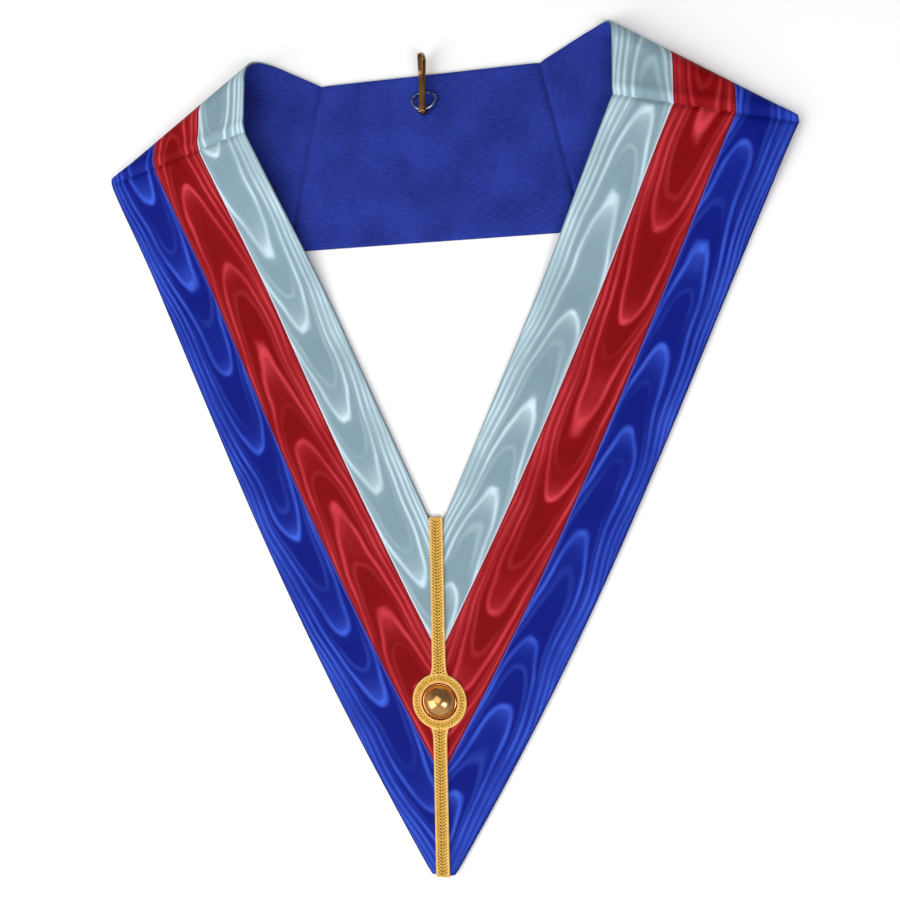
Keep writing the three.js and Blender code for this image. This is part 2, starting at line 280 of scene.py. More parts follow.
# A lined ribbon keeps slow, shallow waves when it is laid down, and each seam draws the cloth beside it
# into small gathers and down towards its stitches.
RIPPLES = (
    # of each wave: its length over 2 pi, its slant across the band, how far a panel's number shifts it
    (31.0, 2.1, 2.4),
    (53.0, -3.3, 4.08),
)
LEG_RIPPLE = 0.55
BACK_RIPPLE = 0.35
BACK_RIPPLE_RATE = 0.9
FLAT_BY_V = 15.0
FLAT_BY_FRONT_SEAM = 25.0
FLAT_BY_BACK_SEAM = 20.0
GATHERS = 62.0
GATHER_SHIFT = 1.3
GATHER_SHIFTS = 23.0
GATHER_REACH = 7.0
FRONT_GATHERS = 0.35
V_GATHERS = 0.25
BACK_GATHERS = 0.15


def ripple(across, distance, seed):
    """Waves from 0 to 1."""
    waves = [np.sin(distance / length + slant * across + shift * seed) for length, slant, shift in RIPPLES]
    return 0.5 + 0.5 * waves[0] * waves[1]


def pucker(across, from_seam):
    """Gathers from 0 to 1 beside a seam."""
    gathers = np.sin(across * GATHERS + GATHER_SHIFT * np.sin(across * GATHER_SHIFTS)) * 0.5 + 0.5
    return gathers * np.exp(-((from_seam / GATHER_REACH) ** 2))


def sewn_down(height, depth, from_seam, facing_up=False):
    """Draws the visible face down towards a seam, more the nearer it is."""
    share = np.clip(depth / panel_thickness, 0, 1)
    share = share if facing_up else 1 - share
    return height - SEAM_DIP * np.exp(-((from_seam / SEAM_DIP_WIDTH) ** 2)) * share


def settled(across, past_crest):
    """Height of the upper face past the fold's crest: a low swell, then a long slope down to lie flat."""
    share = np.minimum(past_crest / blend(SETTLE_LENGTH, across), 1)
    raised = (1 - share) ** 2 * (1 + 2 * share)
    rolled = CREST_DROP * 2 * blend(FOLD_RADIUS, across) * np.exp(-((past_crest / CREST_REACH) ** 2))
    return panel_thickness + (2 * blend(FOLD_RADIUS, across) - panel_thickness) * raised - rolled


def leg(across, along, depth):
    """Points of the right leg and their distance along the ribbon, from the front seam (0) to the V (1)."""
    start = seam_place(front_corner, front_seam_way, across)
    end = np.stack([np.zeros_like(across), apex - across * V_SEAM_LENGTH], 1)
    cut = np.minimum((start[:, 1] - tip) / (start[:, 1] - end[:, 1]), 1)
    share = along * cut
    place = start + (end - start) * share[:, None]
    bow = LEG_BOW * across * np.sin(math.pi * share ** (math.log(0.5) / math.log(LEG_BOW_PLACE)))
    seam_to_crest = crease_reach - blend(FOLD_RADIUS, across) - start @ across_fold
    from_seam = np.linalg.norm(place - start, axis=1)
    height = settled(across, np.maximum(seam_to_crest, 0) + from_seam) - depth
    place = place + np.multiply.outer(bow, [-leg_heading[1], leg_heading[0]])
    corner = tip_half - TIP_ROUND
    beside = np.clip((place[:, 0] - corner) / TIP_ROUND, 0, 1)
    place[:, 1] = np.maximum(place[:, 1], tip + TIP_ROUND * (1 - np.sqrt(1 - beside**2)))
    distance = (place - front_corner) @ leg_heading
    to_v = place[:, 0]
    free = np.minimum(to_v / FLAT_BY_V, 1) * np.minimum(from_seam / FLAT_BY_FRONT_SEAM, 1)
    height = height + LEG_RIPPLE * ripple(across, distance, 1) * free
    height = height + FRONT_GATHERS * pucker(across, from_seam) + V_GATHERS * pucker(across, to_v)
    height = sewn_down(height, depth, from_seam)
    return np.column_stack([place, height]), distance


def shoulder(across, along, depth):
    """Points of the right shoulder, from the back seam beneath (0) round the fold to the front seam (1)."""
    radius = blend(FOLD_RADIUS, across)
    start = seam_place(back_corner, back_seam_way, across)
    end = seam_place(front_corner, front_seam_way, across)
    crest = crease_reach - radius
    beneath = crest - start @ across_fold
    on_top = crest - end @ across_fold
    unrolled = beneath + math.pi * radius + on_top
    travelled = along * unrolled
    sideways = blend((start @ along_fold, end @ along_fold), travelled / unrolled)
    turn = np.clip((travelled - beneath) / radius, 0, math.pi)
    past_crest = travelled - beneath - math.pi * radius
    reach = np.where(
        travelled < beneath,
        start @ across_fold + travelled,
        np.where(past_crest > 0, crest - past_crest, crest + (radius - depth) * np.sin(turn)),
    )
    height = np.where(travelled < beneath, depth, radius - (radius - depth) * np.cos(turn))
    height = height - CREST_DROP * radius * (1 - np.cos(turn))
    lift = blend(LIFT, np.minimum(travelled / beneath, 1))
    height = height + np.where(past_crest > 0, 0, lift * (1 - height / (2 * radius)))
    height = np.where(past_crest > 0, settled(across, np.maximum(past_crest, 0)) - depth, height)
    to_front = unrolled - travelled
    height = height + FRONT_GATHERS * pucker(across, to_front) + BACK_GATHERS * pucker(across, travelled)
    height = height + RIDGE * np.exp(-(((to_front - RIDGE_PLACE) / RIDGE_WIDTH) ** 2))
    height = sewn_down(sewn_down(height, depth, to_front), depth, travelled, facing_up=True)
    place = np.multiply.outer(sideways, along_fold) + np.multiply.outer(reach, across_fold)
    skew = across * band_width * math.tan(math.radians(BACK_TURN / 2))
    return np.column_stack([place, height]), travelled / -(shoulder_heading @ across_fold) - skew


# Folding has left a crease near the middle of the back panel. It starts a little below the neck edge.
CREASE_PLACE = -5.0
CREASE_HEIGHT = 0.35
CREASE_WIDTH = 1.6
CREASE_START = 0.18
CREASE_FADE = 0.2


def back(across, along, depth):
    """Points of the back panel, from its left seam (0) to its right one (1)."""
    end = seam_place(back_corner, back_seam_way, across)
    x = blend((-end[:, 0], end[:, 0]), along)
    crease = np.exp(-(((x - CREASE_PLACE) / CREASE_WIDTH) ** 2))
    crease = crease * np.clip((across - CREASE_START) / CREASE_FADE, 0, 1)
    to_seam = end[:, 0] - np.abs(x)
    free = np.minimum(to_seam / FLAT_BY_BACK_SEAM, 1)
    swell = BACK_RIPPLE * ripple(across, x * BACK_RIPPLE_RATE, 2) * free + CREASE_HEIGHT * crease
    swell = swell * np.clip(depth / panel_thickness, 0, 1)
    swell = swell + BACK_GATHERS * pucker(across, to_seam)
    height = sewn_down(depth + swell, depth, to_seam, facing_up=True)
    return np.column_stack([x, end[:, 1], height]), x


# Each layer of a panel is a closed sheet. Its ends are tucked in at the seams, where it is thinner and its
# rows are closer together.
PANELS = {
    # panel: its surface, its length, its rows, how it lies, whether it has a left and a right
    "leg": (leg, 395.0, 130, "laid", True),
    "shoulder": (shoulder, 120.0, 70, "folded", True),
    "back": (back, 160.0, 64, "laid", False),
}
ROWS_NEAR_SEAM = (0.0, 0.15, 0.35, 0.6, 0.9, 1.3, 1.8, 2.4, 3.2, 4.2, 5.6)
TUCK = 0.55
TUCK_REACH = 0.9
EDGE_STEPS = 5
WEAVE_OF_LEFT = 3.7


def dressed(name, node, points, faces, material, weave=None):
    """Makes the piece that stands for a node, from points in millimetres and their places in the weave."""
    mesh = bpy.data.meshes.new(name)
    mesh.from_pydata((points * MM).tolist(), [], faces)
    if weave is not None:
        layer = mesh.uv_layers.new(name="weave")
        corners = np.array([loop.vertex_index for loop in mesh.loops])
        layer.data.foreach_set("uv", weave[corners].astype(np.float32).ravel())
    mesh.materials.append(material)
    mesh.shade_smooth()
    piece = bpy.data.objects.new(name, mesh)
    bpy.context.scene.collection.objects.link(piece)
    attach(piece, "root")
    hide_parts(node)
    return piece


def walls_between(rings, around):
    """Quads between rings of points that each close on themselves."""
    ring, spot = np.meshgrid(np.arange(rings - 1), np.arange(around), indexing="ij")
    after = (spot + 1) % around
    here, ahead = ring * around, (ring + 1) * around
    return np.stack([here + spot, here + after, ahead + after, ahead + spot], -1).reshape(-1, 4)


def tube_faces(rings, around):
    """The walls between rings of points, with a strip of quads over each of the two end rings."""
    step = np.arange(around // 2 - 1)
    cap = np.stack([step, around - 1 - step, around - 2 - step, step + 1], -1)
    return np.concatenate([walls_between(rings, around), cap, (rings - 1) * around + cap[:, ::-1]])


def rows_between_seams(count, length):
    """Places from 0 to 1 along a panel, with fine rows beside the seams at both ends."""
    near = np.array(ROWS_NEAR_SEAM) / length
    even = np.linspace(near[-1], 1 - near[-1], count)
    return np.concatenate([near[:-1], even, 1 - near[-2::-1]])


def rounded_outline(first, last, under, over, roundness, cells):
    """A sheet's section, flat with rounded edges, as places across the band and depths."""
    turn = np.linspace(-math.pi / 2, math.pi / 2, EDGE_STEPS)[1:-1]
    flat = np.linspace(first + roundness, last - roundness, cells)
    bulge = roundness * np.cos(turn)
    rounded = (under + over) / 2 + (over - under) / 2 * np.sin(turn)
    across = np.concatenate([flat, flat[-1] + bulge, flat[::-1], flat[0] - bulge])
    depth = np.concatenate([np.full(cells, under), rounded, np.full(cells, over), rounded[::-1]])
    return across / band_width, depth


def sewn_cloth(panel, layer, outline, material, weave_at):
    """One layer of a panel, on each side that it has: an outline of places across and depths, swept."""
    surface, length, rows, held, sided = PANELS[panel]
    across, depth = outline
    stops = rows_between_seams(rows, length)
    from_end = np.minimum(stops, 1 - stops) * length
    tuck = TUCK * np.exp(-((from_end / TUCK_REACH) ** 2))
    middle = (depth.max() + depth.min()) / 2
    thin = depth[None, :] + tuck[:, None] * np.sign(middle - depth)[None, :]
    every_across = np.tile(across, len(stops))
    points, distance = surface(every_across, np.repeat(stops, len(across)), thin.ravel())
    points = points + [0, neck_line, 0]
    faces = tube_faces(len(stops), len(across))
    weave = weave_at(every_across, distance)
    for side in ("right_", "left_") if sided else ("",):
        placed, sided_faces, sided_weave = points, faces, weave
        if side == "left_":
            placed, sided_faces = points * [-1, 1, 1], faces[:, ::-1]
            sided_weave = weave * [1, -1] + [0, WEAVE_OF_LEFT]
        node = f"{side}{panel}_{layer}"
        piece = dressed(node + "_cloth", node, placed, sided_faces.tolist(), material, sided_weave)


# The moiré ribbons: watered silk, pressed so that its fine cross ribs catch the light in nested flames. The
# flames are the silk's own watered pattern, and the light they catch is painted sheen in the colour. Three run
# side by side, each about a third of the band, with firm woven edges, and are sewn to the lining. A thin
# painted line
# runs along each edge: a highlight on some edges and shade on others.
EDGE_ROUND = 0.35
RIBBON_CELLS = 15
RIBBONS = {
    # ribbon: its deep and middle tones, the tone of its painted sheen, the painted light and shade of its neck
    # edge and of its outer edge, the way that the flames point, the place of their ridge across
    "light_blue": (
        (117, 144, 155), (136, 161, 173), (205, 230, 240), (120, 138, 140), (214, 208, 218), -1, 0.3,
    ),
    "crimson": ((112, 3, 7), (138, 6, 12), (205, 62, 72), (112, 8, 18), (96, 4, 14), 1, 0.12),
    "dark_blue": ((6, 18, 108), (12, 29, 135), (60, 93, 211), (84, 80, 176), (12, 16, 78), -1, -0.28),
}
FLAME_LENGTH = 1.75
FLAME_STEEPNESS = 2.3
FLAME_ROUNDNESS = 2.3
UNEVENNESS = {
    # what isn't even: its changes across the ribbon, its changes along a ribbon's width, detail, shift
    "ridge": (0.0, 0.4, 1.0, 0.0),
    "steepness": (0.0, 0.3, 2.0, 5.0),
    "spacing": (0.0, 0.4, 2.0, 9.0),
    "bends": (1.5, 0.45, 2.0, 3.0),
    "fray": (4.0, 64.4, 2.0, 21.0),
    "patches": (1.3, 0.8, 2.0, 2.0),
    "faint lines": (1.0, 0.5, 2.0, 13.0),
    "shade": (2.0, 0.9, 2.0, 7.0),
}
RIDGE_WANDER = 0.7
STEEPNESS_ENDS = (0.75, 1.25)
SPACING_CHANGE = 1.4
BEND = 0.5
FRAY = 0.035
LINE_WIDTH = 0.044
SHADE_WIDTH = 2.5 * LINE_WIDTH
FAINT_WIDTH = 1.1 * LINE_WIDTH
RISE_WIDTH = 1.6 * LINE_WIDTH
TIP_WIDENING = 1.4
TIP_NARROWNESS = 0.45
GLOW_LENGTH = 0.11
SHADE_LENGTH = 0.44
PATCH_FADE = (0.35, 0.65)
LINE_LIGHT = 0.35
LINE_LIGHT_AT_TIP = 0.3
LINE_LIGHT_IN_PATCH = 0.4
GLOW_LIGHT = 0.45
GLOW_LIGHT_IN_PATCH = 0.5
FAINT_LIGHT = 0.25
FAINT_PLACE = 0.45
FAINT_FADE = (0.35, 0.7)
SHADE_OF_GLOW, SHADE_OF_LINE, SHADE_OF_NOISE = 0.8, 0.5, 0.5
# The painted highlight and shade along the ribbons' edges: how far in it reaches, and how strong it is
EDGE_LIGHT_AND_SHADE = (0.015, 0.04)
EDGE_LIGHT_AND_SHADE_SHARE = 0.8
RIBS = 92.0
RIB_RELIEF = 0.7
SILK_THREADS = 60.0
SILK_DETAIL = 2.0
THREAD_RELIEF = 0.5
SILK_RELIEF = (0.12, 0.0002)
SILK_ROUGHNESS = 0.5
SMOOTHER_WHERE_LIT = 0.1
ROUGHER_BY_THREAD = 0.06
SILK_SPECULAR = 0.05
PANEL_OFFSET = 5.3
SEEDS = 17


def moire(name, deep, middle, painted_sheen_tone, neck_edge_light_and_shade, outer_edge_light_and_shade, way, ridge):
    material, link, shader = new_material(name + "_moire")
    place = link.add("UVMap", {"uv_map": "weave"})
    across, along = place.axis(0), place.axis(1)
    seed = sum(map(ord, name)) % SEEDS

    def uneven(what):
        scale_across, scale_along, detail, shift = UNEVENNESS[what]
        spot = {0: across * scale_across, 1: along * scale_along, 2: seed + shift}
        return link.add("CombineXYZ", inputs=spot).noise(1.0, detail)

    # Each flame is one turn of a phase that runs along the ribbon and is held back towards its edges
    wander = (uneven("ridge") - 0.5) * RIDGE_WANDER
    from_ridge = (across * 2.0 - 1.0 - ridge - wander).maths("ABSOLUTE")
    strength = FLAME_STEEPNESS * blend(STEEPNESS_ENDS, uneven("steepness"))
    phase = along * (way / FLAME_LENGTH) + strength * from_ridge**FLAME_ROUNDNESS
    phase = phase + (uneven("spacing") - 0.5) * SPACING_CHANGE + (uneven("bends") - 0.5) * BEND
    phase = phase + (uneven("fray") - 0.5) * FRAY
    slope = 2.0 * FLAME_ROUNDNESS * strength * from_ridge ** (FLAME_ROUNDNESS - 1.0)
    slope = (slope * slope + 1.0 / FLAME_LENGTH**2) ** 0.5
    tip_share = 1.0 / FLAME_LENGTH / slope

    def lines(shift, width):
        """A soft line round each flame, widest at its tip."""
        apart = ((phase + shift + 0.5).maths("FRACT") - 0.5).maths("ABSOLUTE")
        return (apart / (slope * width * (1.0 + TIP_WIDENING * tip_share))).fall(0.0, 1.0)

    def glows(fade):
        """Painted sheen, bright inside each flame's tip and fading down the flame."""
        inside = 1.0 - phase.maths("FRACT")
        risen = 1.0 - (inside / (slope * RISE_WIDTH)).fall(0.0, 1.0)
        return risen * (inside * (-1.0 / fade)).maths("EXPONENT") * tip_share**TIP_NARROWNESS

    patchy = 1.0 - uneven("patches").fall(*PATCH_FADE)
    line_light = LINE_LIGHT + LINE_LIGHT_AT_TIP * tip_share + LINE_LIGHT_IN_PATCH * patchy
    # Painted sheen: the flames' lines and glows lighten the colour where the ribs would catch the light
    painted_sheen = lines(0.0, LINE_WIDTH) * line_light
    painted_sheen = painted_sheen + glows(GLOW_LENGTH) * (GLOW_LIGHT + GLOW_LIGHT_IN_PATCH * patchy)
    faint = uneven("faint lines").fall(*FAINT_FADE) * FAINT_LIGHT
    painted_sheen = (painted_sheen + lines(FAINT_PLACE, FAINT_WIDTH) * faint).maths("MINIMUM", 1.0)
    tone = glows(SHADE_LENGTH) * SHADE_OF_GLOW + lines(0.0, SHADE_WIDTH) * SHADE_OF_LINE
    tone = (tone + uneven("shade") * SHADE_OF_NOISE).maths("MINIMUM", 1.0)
    silk = painted_sheen.tint(tone.tint(deep, middle), painted_sheen_tone)
    # Painted highlight and shade: a thin line along each edge, lighter than the silk on some edges and darker
    # on others
    silk = (across.fall(*EDGE_LIGHT_AND_SHADE) * EDGE_LIGHT_AND_SHADE_SHARE).tint(silk, neck_edge_light_and_shade)
    silk = ((1.0 - across).fall(*EDGE_LIGHT_AND_SHADE) * EDGE_LIGHT_AND_SHADE_SHARE).tint(silk, outer_edge_light_and_shade)

    # The ribs run across the ribbon
    thread = place.noise(SILK_THREADS, SILK_DETAIL)
    feed(shader, {
        "Base Color": silk,
        "Roughness": SILK_ROUGHNESS - painted_sheen * SMOOTHER_WHERE_LIT + thread * ROUGHER_BY_THREAD,
        "Normal": (along.wave(RIBS) * RIB_RELIEF + thread * THREAD_RELIEF).relief(*SILK_RELIEF),
        "Specular IOR Level": SILK_SPECULAR,
    })
    return material


for place, (ribbon, look) in enumerate(RIBBONS.items()):
    first = max(place * ribbon_step - SEAM_GAP / 2, 0)
    last = min(place * ribbon_step + ribbon_width + SEAM_GAP / 2, band_width)
    silk = moire(ribbon, *look)
    outline = rounded_outline(first, last, 0, ribbon_thickness, EDGE_ROUND, RIBBON_CELLS)
    for number, panel in enumerate(PANELS):

        def weave_at(across, distance, first=first, last=last, number=number):
            across = (across * band_width - first) / (last - first)
            return np.column_stack([across, distance / ribbon_width + PANEL_OFFSET * number])

        sewn_cloth(panel, ribbon, outline, silk, weave_at)


# The lining: dark blue cotton twill behind the ribbons. It is a little narrower than the band, and its raw
# edges are turned in and sewn to the ribbons' edges on both sides.
LINING_CELLS = 42
LINING_INSET = 0.2
LINING_DARK = (18, 30, 104)
LINING_PALE = (46, 63, 160)
TWILL = 34.0
BLOTCH_SCALE = 1.1
BLOTCH_DETAIL = 1.0
BLOTCH_FADE = (0.25, 0.75)
SLUB_SCALE = 30.0
SLUB_DETAIL = 2.0
STREAKS_ACROSS = 46.0
STREAKS_ALONG = 7.0
STREAK_FADE = (0.3, 0.7)
TONE_OF_BLOTCH, TONE_OF_STREAK, TONE_OF_TWILL, TONE_OF_SLUB, TONE_LESS = 0.4, 0.35, 0.2, 0.3, 0.075
RELIEF_OF_TWILL, RELIEF_OF_WEFT, RELIEF_OF_SLUB = 0.6, 0.3, 0.5
TWILL_RELIEF = (0.35, 0.0002)
TWILL_ROUGHNESS = 0.82
ROUGHER_BY_SLUB = 0.1
TWILL_SPECULAR = 0.06
TWILL_SHEEN = 0.05

lining_cloth, lining_link, lining_shader = new_material("lining_cloth")
cloth_place = lining_link.add("UVMap", {"uv_map": "weave"})
cloth_across, cloth_along = cloth_place.axis(0), cloth_place.axis(1)
blotch = 1.0 - cloth_place.noise(BLOTCH_SCALE, BLOTCH_DETAIL).fall(*BLOTCH_FADE)
slub = cloth_place.noise(SLUB_SCALE, SLUB_DETAIL)
streak_place = {0: cloth_across * STREAKS_ACROSS, 1: cloth_along * STREAKS_ALONG}
streak = lining_link.add("CombineXYZ", inputs=streak_place).noise(1.0, SLUB_DETAIL)
streak = 1.0 - streak.fall(*STREAK_FADE)
twill = (cloth_across + cloth_along).wave(TWILL)
weft = cloth_across.wave(TWILL * 2)
lining_tone = blotch * TONE_OF_BLOTCH + streak * TONE_OF_STREAK + twill * TONE_OF_TWILL
lining_tone = lining_tone + slub * TONE_OF_SLUB - TONE_LESS
lining_relief = twill * RELIEF_OF_TWILL + weft * RELIEF_OF_WEFT + slub * RELIEF_OF_SLUB
feed(lining_shader, {
    "Base Color": lining_tone.tint(LINING_DARK, LINING_PALE),
    "Roughness": TWILL_ROUGHNESS + slub * ROUGHER_BY_SLUB,
    "Normal": lining_relief.relief(*TWILL_RELIEF),
    "Specular IOR Level": TWILL_SPECULAR,
    "Sheen Weight": TWILL_SHEEN,
})

lining_outline = rounded_outline(
    LINING_INSET, band_width - LINING_INSET, lining_face, panel_thickness,
    (panel_thickness - lining_face) / 2, LINING_CELLS,
)


def lining_weave(across, distance):
    return np.column_stack([across * band_width / ribbon_width, distance / ribbon_width])


for panel in PANELS:
    sewn_cloth(panel, "lining", lining_outline, lining_cloth, lining_weave)


# The gimp braid: gold thread woven in a herringbone between two twisted cords. One length runs over the
# V's seam above the ring and one below it, and a third is bent round into the ring. All are sewn down.
upper_low, upper_high = (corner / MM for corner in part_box("seam_braid_upper"))
lower_low, lower_high = (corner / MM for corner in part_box("seam_braid_lower"))
ring_low, ring_high = (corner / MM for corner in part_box("braid_ring"))
ring_centre = (ring_low + ring_high) / 2
ring_radius = (ring_high.x - ring_low.x) / 2
braid_width = upper_high.x - upper_low.x
braid_height = upper_high.z - upper_low.z
RING_BAND = 5.8
CORD_RADIUS = 0.8
STRANDS = 3
STRAND_SHARE = 0.56
STRAND_TURN = 4.4
STRAND_STEP = 0.45
CHEVRON_STEP = 1.9
CHEVRON_LEAN = 1.9
CHEVRON_THREAD = 0.66
CHEVRON_INSET = 1.6
CHEVRON_OVERLAP = 0.2
CHEVRON_STEPS = 5
CHEVRON_FOOT = 0.34
CHEVRON_ARCH = 0.14
CHEVRON_ARCH_TURN = 0.6 * math.pi
CORE_HEIGHT = 0.25
CORE_SHARE = 0.22
CORE_LEAST = 0.15
CORE_SIDES = 4
END_INSET = 0.7
END_HEIGHT = 0.95
END_SHARE = 0.75
END_PLACE = 0.5
END_STEPS = 13
THREAD_SIDES = 6
UPRIGHT = 0.9
FLARE = 1.4
FLARE_REACH = 2.6
JOIN = 1.4
GOLD_CORD = ((224, 164, 72), (244, 210, 134))
GOLD_CHEVRON = ((184, 138, 36), (232, 190, 84))
CHEVRON_EDGE = (0.5, 0.62)
GOLD_FLECKS = 900.0
GOLD_WEAR = 260.0
GOLD_DETAIL = 2.0
TONE_OF_FLECK, TONE_OF_WEAR, GOLD_TONE_LESS = 0.7, 0.9, 0.3
GOLD_ROUGHNESS = 0.42
ROUGHER_BY_FLECK = 0.2
GOLD_RELIEF = (0.3, 0.0001)
GOLD_METALLIC = 0.15
OBJECT_PLACE = 3


class Threads:
    """Gathers round threads, each swept along its own points, into one mesh."""

    def __init__(self):
        self.points, self.faces, self.count = [], [], 0

    def thread(self, path, radius, sides=THREAD_SIDES):
        path = np.asarray(path, float)
        along = np.gradient(path, axis=0)
        along /= np.linalg.norm(along, axis=1)[:, None]
        up = np.where(np.abs(along[:, 2:3]) > UPRIGHT, [[1.0, 0.0, 0.0]], [[0.0, 0.0, 1.0]])
        side_way = np.cross(along, up)
        side_way /= np.linalg.norm(side_way, axis=1)[:, None]
        rise = np.cross(side_way, along)
        turn = np.linspace(0, 2 * math.pi, sides, endpoint=False)[None, :, None]
        around = np.cos(turn) * side_way[:, None] + np.sin(turn) * rise[:, None]
        self.gather(path[:, None] + radius * around)

    def gather(self, rings):
        """Adds a tube, given as rings of points."""
        rows, sides, _ = rings.shape
        self.points.append(rings.reshape(-1, 3))
        self.faces.append(tube_faces(rows, sides) + self.count)
        self.count += rows * sides

    def piece(self, name, node, material, slot, bend=lambda points: points, half_width=1.0):
        points = np.concatenate(self.points)
        weave = np.column_stack([np.abs(points[:, 1]) / half_width, points[:, 0]])
        return dressed(name, node, bend(points), np.concatenate(self.faces).tolist(), material, weave)


def gimp(length, width, height, flare=lambda s: 0.0, free_ends=()):
    """A length of braid laid along +x from 0, its underside at height 0."""
    made = Threads()
    cord = min(height / 2, CORD_RADIUS)
    strand = cord * STRAND_SHARE
    offset = cord - strand
    s = np.linspace(0, length, int(length / STRAND_STEP) + 1)
    wide = width / 2 - cord + flare(s)
    turns = max(1, round(length / STRAND_TURN))
    share = np.linspace(0, 1, CHEVRON_STEPS)
    arched = height * (CHEVRON_FOOT + CHEVRON_ARCH * np.sin(share * CHEVRON_ARCH_TURN))
    for side in (-1, 1):
        for number in range(STRANDS):
            turn = side * s / length * turns * 2 * math.pi + number * 2 * math.pi / STRANDS
            twisted = [s, side * wide + offset * np.cos(turn), cord + offset * np.sin(turn)]
            made.thread(np.column_stack(twisted), strand)
        for start in np.arange(0, length - CHEVRON_LEAN, CHEVRON_STEP):
            reach = (width / 2 - cord * CHEVRON_INSET + flare(start)) * (1 - share) + CHEVRON_OVERLAP
            chevron = np.column_stack([start + CHEVRON_LEAN * share, side * reach, arched])
            made.thread(chevron, CHEVRON_THREAD)
    half_core = (width / 2 - cord) / 2
    for across in (-half_core, 0, half_core):
        core = np.column_stack([s, 0 * s + across, 0 * s + height * CORE_HEIGHT])
        made.thread(core, CORE_SHARE * height + CORE_LEAST, CORE_SIDES)
    across = np.linspace(-1, 1, END_STEPS) * (width / 2 - cord * END_INSET)
    for end in free_ends:
        bound = np.column_stack([0 * across + end, across, 0 * across + cord * END_HEIGHT])
        made.thread(bound, cord * END_SHARE)
    return made


gold_thread, gold_link, gold_shader = new_material("gold_braid")
gold_across = gold_link.add("UVMap", {"uv_map": "weave"}).axis(0)
gold_place = gold_link.add("TexCoord", output=OBJECT_PLACE)
gold_fleck = gold_place.noise(GOLD_FLECKS, GOLD_DETAIL)
gold_wear = gold_place.noise(GOLD_WEAR, GOLD_DETAIL)
gold_tone = gold_fleck * TONE_OF_FLECK + gold_wear * TONE_OF_WEAR - GOLD_TONE_LESS
on_chevron = gold_across.fall(*CHEVRON_EDGE)
feed(gold_shader, {
    "Base Color": on_chevron.tint(gold_tone.tint(*GOLD_CORD), gold_tone.tint(*GOLD_CHEVRON)),
    "Roughness": GOLD_ROUGHNESS + gold_fleck * ROUGHER_BY_FLECK,
    "Normal": gold_fleck.relief(*GOLD_RELIEF),
    "Metallic": GOLD_METALLIC,
})

for meets_below, name, low, high in (
    (True, "seam_braid_upper", upper_low, upper_high),
    (False, "seam_braid_lower", lower_low, lower_high),
):
    length = high.y - low.y + JOIN
    top = high.y if meets_below else high.y + JOIN
    free_end = END_PLACE if meets_below else length - END_PLACE

    def flare(s, length=length, meets_below=meets_below):
        from_ring = length - s if meets_below else s
        return FLARE * np.exp(-from_ring / FLARE_REACH)

    def along_seam(points, top=top, base=low.z):
        return np.column_stack([points[:, 1], top - points[:, 0], points[:, 2] + base])

    laid = gimp(length, braid_width, braid_height, flare, (free_end,))
    laid.piece(name + "_gimp", name, gold_thread, "gold_braid", along_seam, braid_width / 2)

ring_middle = ring_radius - RING_BAND / 2


def round_ring(points):
    angle = points[:, 0] / ring_middle
    radius = ring_middle + points[:, 1]
    x = ring_centre.x + radius * np.sin(angle)
    y = ring_centre.y - radius * np.cos(angle)
    return np.column_stack([x, y, points[:, 2] + ring_low.z])


gimp(2 * math.pi * ring_middle, RING_BAND, ring_high.z - ring_low.z).piece(
    "braid_ring_gimp", "braid_ring", gold_thread, "gold_braid", round_ring, RING_BAND / 2
)


# The button: a cap of gilt brass, stamped to a low dome over a rolled lip and polished. It is sewn on by
# its shank, inside the ring of braid.
button_low, button_high = (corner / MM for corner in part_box("dome_button"))
button_radius = (button_high.x - button_low.x) / 2
button_height = button_high.z - button_low.z
BUTTON_SEGMENTS = 96
LIP_RADIUS = 0.45
LIP_TURN = 0.8 * math.pi
LIP_STEPS = 7
DOME_FOOT = 0.72
DOME_STEPS = 33
BUTTON_GILT = ((180, 108, 48), (240, 196, 130))
BUTTON_ROUGHNESS = 0.12
GILT_WEAR = 130.0
GILT_DETAIL = 4.0
GILT_RELIEF = (0.35, 0.0004)
ROUGHER_BY_WEAR = 0.12


def gilt(name, ends, roughness):
    """Gilt brass, browner where the gilding is thin."""
    material, link, shader = new_material(name)
    wear = link.add("TexCoord", output=OBJECT_PLACE).noise(GILT_WEAR, GILT_DETAIL)
    feed(shader, {
        "Base Color": wear.tint(*ends),
        "Roughness": roughness + wear * ROUGHER_BY_WEAR,
        "Normal": wear.relief(*GILT_RELIEF),
        "Metallic": 1.0,
    })
    return material


def turned(name, node, profile, centre, material):
    """A solid turned about the vertical from a profile of radius and height, with both ends on the axis."""
    turn = np.linspace(0, 2 * math.pi, BUTTON_SEGMENTS, endpoint=False)
    radius, height = np.array(profile[1:-1]).T
    x, y = (np.multiply.outer(radius, way) for way in (np.cos(turn), np.sin(turn)))
    rings = np.stack([x, y, np.repeat(height[:, None], BUTTON_SEGMENTS, 1)], -1).reshape(-1, 3)
    points = np.concatenate([rings, [[0, 0, profile[0][1]], [0, 0, profile[-1][1]]]])
    last = len(rings)
    faces = walls_between(len(radius), BUTTON_SEGMENTS).tolist()
    for spot in range(BUTTON_SEGMENTS):
        after = (spot + 1) % BUTTON_SEGMENTS
        faces.append((last, after, spot))
        faces.append((last + 1, last - BUTTON_SEGMENTS + spot, last - BUTTON_SEGMENTS + after))
    dressed(name, node, points + centre, faces, material)


